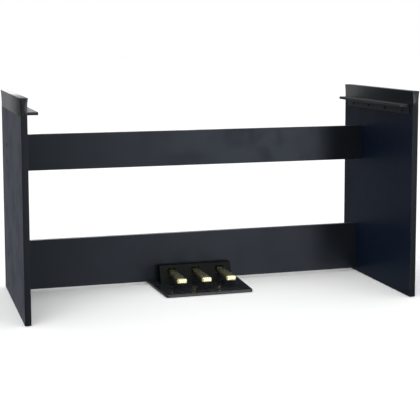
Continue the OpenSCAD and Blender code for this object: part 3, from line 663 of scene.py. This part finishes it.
def makeScrews(look):
    # every screw of a kind in one piece; each node's solids say where they stand and how long they are
    grids = [screw(*crosswise(box, True), look["screwShank"], look["bracketHead"], look["cross"],
                   crossShape, look)
             for box in solidsOf("bracket_screws")]
    settle(surface("bracket_screw_set", grids, look["sharp"]), "bracket_screws", blackZinc)
    for node in ("rail_screws", "housing_screws", "rear_cover_screws", "chassis_screws"):
        grids = [screw(*standing(box), look["screwShank"], look["screwHead"], look["hex"], hexagon, look)
                 for box in solidsOf(node)]
        settle(surface(node[:-1] + "_set", grids, look["sharp"]), node, zinc)
    grids = [screw(*crosswise(box, False), look["boltShank"], look["boltHead"], look["key"], hexagon, look)
             for box in solidsOf("rail_bolts")]
    settle(surface("rail_bolt_set", grids, look["sharp"]), "rail_bolts", zinc)
    ends = [corner[1] for box in solidsOf("barrel_nuts") for corner in box]
    nuts = eased("barrel_nut_set", "barrel_nuts", look["nutEasing"], look["nearEnd"],
                 where=lambda point: min(abs(point.y - end) for end in ends) < look["nearEnd"])
    settle(nuts, "barrel_nuts", zinc)


makeScrews(fixings)

plastics = {"cover": {"tone": (0.011, 0.011, 0.012), "roughness": 0.38},
            "nylon": {"tone": (0.045, 0.045, 0.046), "roughness": 0.45},
            "rubber": {"tone": (0.02, 0.02, 0.02), "roughness": 0.75, "texture": 900, "depth": 0.08 * mm,
                       "gloss": 0.3},
            "acetal": {"tone": (0.74, 0.71, 0.63), "roughness": 0.35},
            "plate": {"tone": (0.0125, 0.0135, 0.0165), "roughness": 0.2, "texture": 1500, "depth": 0.02 * mm,
                      "spread": 0.1},
            "housing": {"tone": (0.0022, 0.0038, 0.0034), "roughness": 0.42, "texture": 2200,
                        "depth": 0.04 * mm,
                        "spread": 0.1, "gloss": 0.14},
            "sensor": {"tone": (0.011, 0.011, 0.012), "roughness": 0.3},
            "jacket": {"tone": (0.02, 0.02, 0.021), "roughness": 0.5, "texture": 1200}}


def plastic(name, look):
    # moulded plastic: a faint cloud in the tone, smudges in the gloss and a fine moulded skin
    made, shader, place = startFinish(name, Specular_IOR_Level=look.get("gloss", 0.5))
    smudge = place.patches(45, 4, 0.6, 0.4, 0.7)
    skin = place.noise(look.get("texture", 2600), 2, 0.6)
    colour = mottled(place.patches(25), look, 0.86, 1.16)
    roughness = look["roughness"] + look.get("spread", 0.12) * smudge
    feed(shader, colour, roughness, skin, 0.25, look.get("depth", 0.03 * mm))
    return made


acetal = plastic("bearing_acetal", plastics["acetal"])
sizes = {"coverPlug": 6.95 * mm, "coverThick": 1.2 * mm, "stemLow": 2.4, "stemHigh": 14.5, "ribPitch": 1.1,
         "ribRadii": (2.7 * mm, 3.0 * mm), "stemRadius": 2.4 * mm, "fluteDepth": 0.05, "fluteCount": 18,
         "dowelChamfer": 1.2 * mm, "dowelTip": 0.78, "beech": ((0.60, 0.40, 0.22), (0.42, 0.25, 0.12))}


def makeBoltCovers(look):
    # each cover is a shallow dome with a dished middle, spun round the bolt, and its plug goes into the recess
    grids = []
    plug, thick = look["coverPlug"], look["coverThick"]
    for low, high in solidsOf("bolt_covers"):
        start, axis, length = crosswise((low, high), False)
        radius = (high[1] - low[1]) / 2
        line = [(0.35 * mm, 0), (0.3 * mm, 4.5 * mm), (0, radius - 2.2 * mm), (0.15 * mm, radius - 0.9 * mm),
                (0.75 * mm, radius), (thick, radius), (thick, plug), (length - 0.4 * mm, plug),
                (length, plug - 0.4 * mm), (length, 0)]
        grids.append(turned(rounded(line, 0.3 * mm), start, axis, 40))
    finish = plastic("cover_plastic", plastics["cover"])
    settle(surface("bolt_cover_set", grids), "bolt_covers", finish)


def makeFeet(look):
    # glides and pads: a round disc with a soft rim, spun about the vertical; the glides also have a ribbed stem
    grids = []
    heights = np.arange(look["stemLow"], look["stemHigh"], look["ribPitch"])
    ribs = [(z * mm, look["ribRadii"][i % 2]) for i, z in enumerate(heights)]
    for low, high in solidsOf("panel_glides"):
        radius, top = (high[1] - low[1]) / 2, high[2]
        line = [(0, 0), (0, radius - 0.9 * mm), (0.9 * mm, radius), (2 * mm, radius), (2 * mm, 3 * mm)] + ribs
        line += [(top - 0.8 * mm, look["stemRadius"]), (top, 0)]
        grids.append(turned(rounded(line, 0.4 * mm), standing((low, high))[0], (0, 0, 1), 32))
    finish = plastic("glide_nylon", plastics["nylon"])
    settle(surface("glide_set", grids), "panel_glides", finish)
    grids = []
    for low, high in solidsOf("plate_pads"):
        radius, top = (high[1] - low[1]) / 2, high[2]
        line = [(0.3 * mm, 0), (0.3 * mm, 2.5 * mm), (0, 3.2 * mm), (0, radius - 1.2 * mm),
                (0.8 * mm, radius),
                (top, radius), (top, 0)]
        grids.append(turned(rounded(line, 0.4 * mm), standing((low, high))[0], (0, 0, 1), 36))
    finish = plastic("pad_rubber", plastics["rubber"])
    settle(surface("pad_set", grids), "plate_pads", finish)


def flutes(turn):
    # a ring whose radius dips in evenly spaced grooves
    return 1 - sizes["fluteDepth"] * (0.5 + 0.5 * np.cos(turn * sizes["fluteCount"]))


def makeDowels(look):
    # fluted rods with chamfered ends, in beech whose grain runs along them
    chamfer, light, dark = look["dowelChamfer"], *look["beech"]
    for node, axis, grain in (("rail_dowels", 0, (60, 900, 900)), ("cap_dowels", 2, (900, 900, 60))):
        grids = []
        for box in solidsOf(node):
            start, length, radius = middleRod(box, axis)
            tip = radius * look["dowelTip"]
            line = np.array([(0, 0, 0), (0, tip, 0), (chamfer, radius, 1), (length - chamfer, radius, 1),
                             (length, tip, 0), (length, 0, 0)])
            grids.append(turned(line, start, np.eye(3)[axis], 72, shape=flutes))
        made, shader, place = startFinish(node + "_beech", Specular_IOR_Level=0.3)
        fibre = place.stretched(grain).noise(1.0, 4, 0.6)
        feed(shader, fibre.ramp(0.3, 0.7).mix(tint(light), tint(dark)), 0.55 + 0.2 * fibre, fibre, 0.4,
             0.08 * mm)
        settle(surface(node[:-1] + "_set", grids, 50), node, made)


makeBoltCovers(sizes)
makeFeet(sizes)
makeDowels(sizes)
print("brackets, fixings and feet made")

plate = {"easing": 2.2 * mm, "shortest": 0.6 * mm, "segments": 4, "rim": 0.1 * mm}


def makePlate(look):
    # the board's upper rim is rolled over; its satin skin has faint smudges
    node = "pedal_base_plate"
    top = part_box(node)[1][2]
    piece = eased("pedal_plate", node, look["easing"], look["shortest"], look["segments"],
                  where=lambda point: point.z > top - look["rim"])
    settle(piece, node, plastic("plate_plastic", plastics["plate"]))


makePlate(plate)

housing = {"easing": 1.4 * mm, "shortest": 5 * mm, "margin": 1 * mm}


def makeHousing(look):
    # front and rear shells in one textured plastic, outer edges eased but not where they meet plate and rail
    finish = plastic("housing_plastic", plastics["housing"])
    margin = look["margin"]
    low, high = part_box("pedal_housing")
    front = eased("pedal_unit_front", "pedal_housing", look["easing"], look["shortest"],
                  where=lambda point: point.z > low[2] + margin and point.y < high[1] - margin)
    settle(front, "pedal_housing", finish)
    low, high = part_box("pedal_rear_cover")
    rear = eased("pedal_unit_rear", "pedal_rear_cover", look["easing"], look["shortest"],
                 where=lambda point: point.z > low[2] + margin and point.y > low[1] + margin)
    settle(rear, "pedal_rear_cover", finish)


makeHousing(housing)
print("base plate and housing made")

brass = {"tone": (0.97, 0.91, 0.53), "dark": (0.84, 0.72, 0.30), "roughness": 0.2, "tarnish": 0.04,
         "patchScale": 38, "grain": (900, 45, 900)}
pedals = {"names": ("soft", "sostenuto", "damper"), "noseWidth": 39 * mm, "rootWidth": 24 * mm,
          "noseTop": 56 * mm, "rootTop": 60.5 * mm, "noseHeight": 18.5 * mm, "rootHeight": 14 * mm,
          "noseCorner": 6 * mm, "rootCorner": 3.2 * mm, "leastCorner": 0.8 * mm, "edge": 3.2 * mm,
          "backEdge": 2 * mm, "bulge": 0.7 * mm, "crown": 1.8 * mm, "rootBack": 153 * mm, "armWidth": 16 * mm,
          "armHeight": 10 * mm, "armCorner": 1.5 * mm, "armStart": 149 * mm, "armDrop": 2 * mm,
          "hubRadius": 9 * mm,
          "hubLength": 30 * mm, "hubSoft": 0.8 * mm, "boreRadius": 6 * mm, "axleRadius": 4.05 * mm,
          "bushSoft": 0.4 * mm, "sharp": 40}


def roundRectangle(steps=5, flat=6):
    # an outline's columns: which corner core each point belongs to, across and up, and its angle there
    quarter = np.linspace(0, math.pi / 2, steps)
    angle = np.concatenate([quarter - math.pi / 2, quarter, np.full(flat, math.pi / 2), quarter + math.pi / 2,
                            quarter + math.pi, np.full(flat, 1.5 * math.pi)])
    line = np.linspace(1, -1, flat + 2)[1:-1]
    ones = np.ones(steps)
    across = np.concatenate([ones, ones, line, -ones, -ones, -line])
    up = np.concatenate([-ones, ones, np.ones(flat), ones, -ones, -np.ones(flat)])
    return across, up, angle


def pedalTongue(x, noseY, look):
    # sections that narrow and climb from nose to root, each a rounded rectangle with a crowned top; the nose is
    # rounded off by a quarter circle and its face bulges by a parabola
    across, up, angle = roundRectangle()
    edge, backEdge = look["edge"], look["backEdge"]
    start, end = noseY + look["bulge"], look["rootBack"]
    a = np.linspace(0, math.pi / 2, 6)
    face = np.linspace(0, 1, 5)[:-1]  # the rings that close an end, as shares of its size
    straight = np.linspace(start + edge, end - backEdge, 12)[1:-1]
    y = np.concatenate([np.full(len(face), start), start + edge * (1 - np.cos(a)), straight,
                        end - backEdge * (1 - np.cos(a[::-1])), np.full(len(face), end)])
    inset = np.concatenate([np.full(len(face), edge), edge * (1 - np.sin(a)), 0 * straight,
                            backEdge * (1 - np.sin(a[::-1])), np.full(len(face), backEdge)])
    shrink = np.concatenate([face, np.ones(len(y) - 2 * len(face)), face[::-1]])
    t = np.clip((y - noseY) / (end - noseY), 0, 1)
    top, width, height, corner = [look["nose" + size] + (look["root" + size] - look["nose" + size]) * t
                                  for size in ("Top", "Width", "Height", "Corner")]
    radius = np.maximum(corner - inset, look["leastCorner"])[:, None]
    coreX, coreZ = (width / 2 - inset)[:, None] - radius, (height / 2 - inset)[:, None] - radius
    pointX = (coreX * across + radius * np.cos(angle)) * shrink[:, None]
    pointZ = (coreZ * up + radius * np.sin(angle)) * shrink[:, None]
    upperShare = np.clip(pointZ / (height / 2)[:, None], 0, 1) * (1 - inset / edge)[:, None]
    crown = look["crown"] * (pointX / (width / 2)[:, None]) ** 2 * upperShare
    bulge = np.zeros(len(y))
    front = len(face) + 1
    bulge[:front] = -look["bulge"] * (1 - shrink[:front] ** 2)
    pointY = np.broadcast_to((y + bulge)[:, None], pointX.shape)
    return np.stack([x + pointX, pointY, (top - height / 2)[:, None] + pointZ - crown], -1), False, True


def pedalArm(x, axle, look):
    # a rounded bar from the root back into the hub's wall, its end cut to the hub's circle
    across, up, angle = roundRectangle(4, 2)
    radius, halfWidth, halfHeight = look["armCorner"], look["armWidth"] / 2, look["armHeight"] / 2
    pointX = (halfWidth - radius) * across + radius * np.cos(angle)
    pointZ = axle[2] - look["armDrop"] + halfHeight + (halfHeight - radius) * up + radius * np.sin(angle)
    wall = (look["hubRadius"] + look["boreRadius"]) / 2
    end = axle[1] - np.sqrt(np.maximum(wall ** 2 - (pointZ - axle[2]) ** 2, 0))
    along = np.linspace(0, 1, 8)[:, None]
    y = look["armStart"] + (end - look["armStart"]) * along
    flat = np.ones_like(along)
    return capped(np.stack([x + pointX * flat, y, pointZ * flat], -1))


def tube(start, length, inner, outer, soft):
    # a ring section with soft corners, spun round a line along X
    corners = [(0, inner), (0, outer), (length, outer), (length, inner)]
    return turned(rounded(corners, soft, closed=True), start, (1, 0, 0), 40, closed=True)


def polished(look):
    # polished brass: lengthwise buffing lines, and darker tarnish in patches
    made, shader, place = startFinish("polished_brass", Metallic=1.0)
    tarnish = place.patches(look["patchScale"], 4, 0.6, 0.45, 0.75)
    lines = place.stretched(look["grain"]).noise(1.0, 3, 0.7)
    colour = tarnish.mix(tint(look["tone"]), tint(look["dark"]))
    feed(shader, colour, look["roughness"] + look["tarnish"] * tarnish + 0.1 * lines, lines, 0.04, 0.02 * mm)
    return made


def makePedals(look):
    # each lever is a tongue, an arm and a hub in brass, with a bush in the hub's bore
    finish = polished(brass)
    length = look["hubLength"]
    for name in look["names"]:
        node = name + "_pedal"
        low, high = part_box(node)
        axle = hingeOfBody[node + "_lever"]["pos_m"]
        x = (low[0] + high[0]) / 2
        start = (x - length / 2, axle[1], axle[2])
        hub = tube(start, length, look["boreRadius"], look["hubRadius"], look["hubSoft"])
        grids = [pedalTongue(x, low[1], look), pedalArm(x, axle, look), hub]
        settle(surface(name + "_pedal_lever", grids, look["sharp"]), node, finish)
        bush = tube(start, length, look["axleRadius"], look["boreRadius"], look["bushSoft"])
        settle(surface(name + "_pedal_bearing", [bush]), node + "_bush", acetal)


makePedals(pedals)
print("pedals made")

mechanism = {"wire": 2 * mm, "turns": 6, "perTurn": 30, "wireSides": 10, "closedPitch": 1.02,
             "springKeep": 0.855,
             "sharp": 60, "chassisEasing": 0.4 * mm, "chassisShortest": 5 * mm, "spangle": 90,
             "steelTone": (0.50, 0.52, 0.55), "steelLight": (0.68, 0.69, 0.71), "axleChamfer": 0.7 * mm,
             "feltTone": (0.19, 0.018, 0.032), "feltDark": (0.10, 0.008, 0.016), "feltSoft": 0.7 * mm}


def springWire(box, look):
    # a wire circle carried round a helix; its height climbs by about one wire in the first and last turns, and
    # evenly between them
    low, high = np.array(box[0]), np.array(box[1])
    middle, wire, turnCount = (low + high) / 2, look["wire"], look["turns"]
    coil, climb, closed = (high[1] - low[1]) / 2 - wire / 2, high[2] - low[2] - wire, wire * look["closedPitch"]
    turns = np.linspace(0, turnCount, turnCount * look["perTurn"] + 1)
    rise = np.interp(turns, [0, 1, turnCount - 1, turnCount], [0, closed, climb - closed, climb])
    around = np.linspace(0, 2 * math.pi, look["wireSides"], endpoint=False)
    radius = coil + wire / 2 * np.cos(around)
    turn = (turns * 2 * math.pi)[:, None]
    height = low[2] + wire / 2 + rise[:, None] + wire / 2 * np.sin(around)
    return capped(np.stack([middle[0] + radius * np.cos(turn), middle[1] + radius * np.sin(turn), height],
                           -1))


def makeSprings(look):
    # each spring stands under a pedal's arm
    drawn = metal("spring_wire", metals["wire"])
    for name in pedals["names"]:
        node = name + "_pedal_spring"
        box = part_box(node)
        spring = surface(name + "_return_spring", [springWire(box, look)], look["sharp"])
        settle(spring, node, drawn)
        anchor = standing(box)[0]
        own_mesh(spring)


def makeChassis(look):
    # galvanised sheet: each crystal of the spangle has its own tone and its own gloss
    made, shader, place = startFinish("galvanised_sheet", Metallic=1.0)
    crystal = place.cells(look["spangle"]).axes()[0]
    scratches = place.stretched((30, 500, 500)).noise(1.0, 3, 0.7)
    colour = crystal.mix(tint(look["steelTone"]), tint(look["steelLight"]))
    feed(shader, colour, 0.28 + 0.16 * crystal + 0.08 * scratches, scratches, 0.12, 0.03 * mm)
    piece = eased("pedal_chassis_sheet", "pedal_chassis", look["chassisEasing"], look["chassisShortest"])
    settle(piece, "pedal_chassis", made)


def makeAxle(look):
    # the axle has chamfered ends; clips and spacers are ring sections spun round it
    start, length, radius = middleRod(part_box("pedal_axle"))
    tip = look["axleChamfer"]
    line = [(0, 0), (0, radius - tip), (tip, radius), (length - tip, radius), (length, radius - tip),
            (length, 0)]
    rod = turned(rounded(line, 0.3 * mm), start, (1, 0, 0), 40)
    settle(surface("axle_rod", [rod]), "pedal_axle", metal("axle_steel", metals["axle"]))
    rings = (("axle_clip", 4 * mm, 0.25 * mm, zinc, "zinc_steel"),
             ("axle_spacer", 4.05 * mm, 0.4 * mm, acetal, "bearing_plastic"))
    for name, bore, soft, finish, slotName in rings:
        rods = [middleRod(box) for box in solidsOf(name + "s")]
        grids = [tube(start, length, bore, radius, soft) for start, length, radius in rods]
        settle(surface(name + "_set", grids), name + "s", finish)


def makeFelts(look):
    # soft-edged pads of pressed felt
    made, shader, place = startFinish("wool_felt", Sheen_Weight=0.5, Sheen_Roughness=0.5,
                                      Specular_IOR_Level=0.1)
    fibres = place.noise(1800, 4, 0.7)
    colour = place.noise(400, 3).ramp(0.35, 0.65).mix(tint(look["feltTone"]), tint(look["feltDark"]))
    feed(shader, colour, 0.9 + 0.08 * fibres, fibres, 0.8, 0.15 * mm)
    for node in ("rest_felts", "down_felts"):
        grids = [softBlock(box, look["feltSoft"]) for box in solidsOf(node)]
        settle(surface(node[:-1] + "_set", grids, look["sharp"]), node, made)


makeSprings(mechanism)
makeChassis(mechanism)
makeAxle(mechanism)
makeFelts(mechanism)
print("pedal mechanism made")

electrics = {"boardTone": (0.018, 0.13, 0.05), "trackTone": (0.03, 0.22, 0.09), "boardThick": 1.6 * mm,
             "plugWidth": 10 * mm, "plugDepth": 9 * mm, "chipStarts": (58 * mm, 72 * mm, 150 * mm),
             "chipSetback": 9 * mm, "chipSize": (9 * mm, 6 * mm, 1.6 * mm), "bodyRadius": 7.5 * mm,
             "flangeThick": 2 * mm, "socketBore": 4.75 * mm, "boreDepth": 7 * mm, "pinCircle": 3.0 * mm,
             "pinRadius": 0.5 * mm, "pins": 5, "pinSink": 0.2 * mm, "leadTip": 0.3 * mm}
black = plastic("sensor_plastic", plastics["sensor"])


def makeSensorBoard(look):
    # a masked board with tracks in it, and the sensors, chips and lead's connector that stand on it
    low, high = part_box("sensor_board")
    top = low[2] + look["boardThick"]
    made, shader, place = startFinish("circuit_board", Coat_Weight=0.3, Coat_Roughness=0.2)
    tracks = place.stretched((60, 420, 60)).noise(1.0, 1).ramp(0.5, 0.53)
    colour = tracks.mix(tint(look["boardTone"]), tint(look["trackTone"]))
    feed(shader, colour, 0.35 + 0.1 * place.noise(200, 2), tracks, 0.3, 0.04 * mm)
    slab = softBlock((low, (high[0], high[1], top)), 0.25 * mm, 3)
    settle(surface("sensor_board_slab", [slab]), "sensor_board", made)
    x, half = standing(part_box("pedal_socket"))[0][0], look["plugWidth"] / 2
    blocks = [softBlock(((x - half, high[1] - look["plugDepth"], top), (x + half, high[1], high[2])),
                        0.7 * mm)]
    width, depth, height = look["chipSize"]
    for chipStart in look["chipStarts"]:
        corner = (low[0] + chipStart, low[1] + look["chipSetback"], top)
        blocks.append(softBlock((corner, (corner[0] + width, corner[1] + depth, top + height)), 0.3 * mm))
    settle(surface("sensor_board_parts", blocks), "sensor_board", black)
    sensors = [softBlock(box, 0.6 * mm) for box in solidsOf("pedal_sensors")]
    settle(surface("sensor_set", sensors), "pedal_sensors", black)


def makeSocket(look):
    # a spun shell round pins that stand in a half circle, and the lead from its back to the board
    low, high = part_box("pedal_socket")
    x, z = (low[0] + high[0]) / 2, (low[2] + high[2]) / 2
    length, flange, body = high[1] - low[1], (high[0] - low[0]) / 2, look["bodyRadius"]
    bore, floor, neck = look["socketBore"], length - look["boreDepth"], length - look["flangeThick"]
    line = [(0, 0), (0, body), (neck, body), (neck, flange), (length, flange), (length, bore),
            (floor, bore), (floor, 0)]
    soft = np.array([0.01, 0.5, 0.05, 0.2, 0.8, 0.5, 0.2, 0.01]) * mm
    shell = turned(rounded(line, soft), (x, low[1], z), (0, 1, 0), 48)
    settle(surface("socket_shell", [shell]), "pedal_socket", black)
    pin = np.array([(0, 0), (0, 1), (4.5, 1), (5, 0.6), (5.2, 0)]) * (mm, look["pinRadius"])
    circle, base = look["pinCircle"], low[1] + floor - look["pinSink"]
    pins = [turned(pin, (x + circle * math.cos(a), base, z + circle * math.sin(a)), (0, 1, 0), 12)
            for a in np.radians(np.linspace(0, 180, look["pins"]))]
    settle(surface("socket_pins", pins), "pedal_socket", zinc)
    start, length, radius = middleRod(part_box("socket_lead"), 1)
    tip, small = look["leadTip"], radius * 0.9
    line = [(0, 0), (0, small), (tip, radius), (length - tip, radius), (length, small), (length, 0)]
    jacket = surface("socket_lead_jacket", [turned(np.array(line), start, (0, 1, 0), 24)])
    settle(jacket, "socket_lead", plastic("lead_jacket", plastics["jacket"]))


makeSensorBoard(electrics)
makeSocket(electrics)
print("sensor board and socket made")
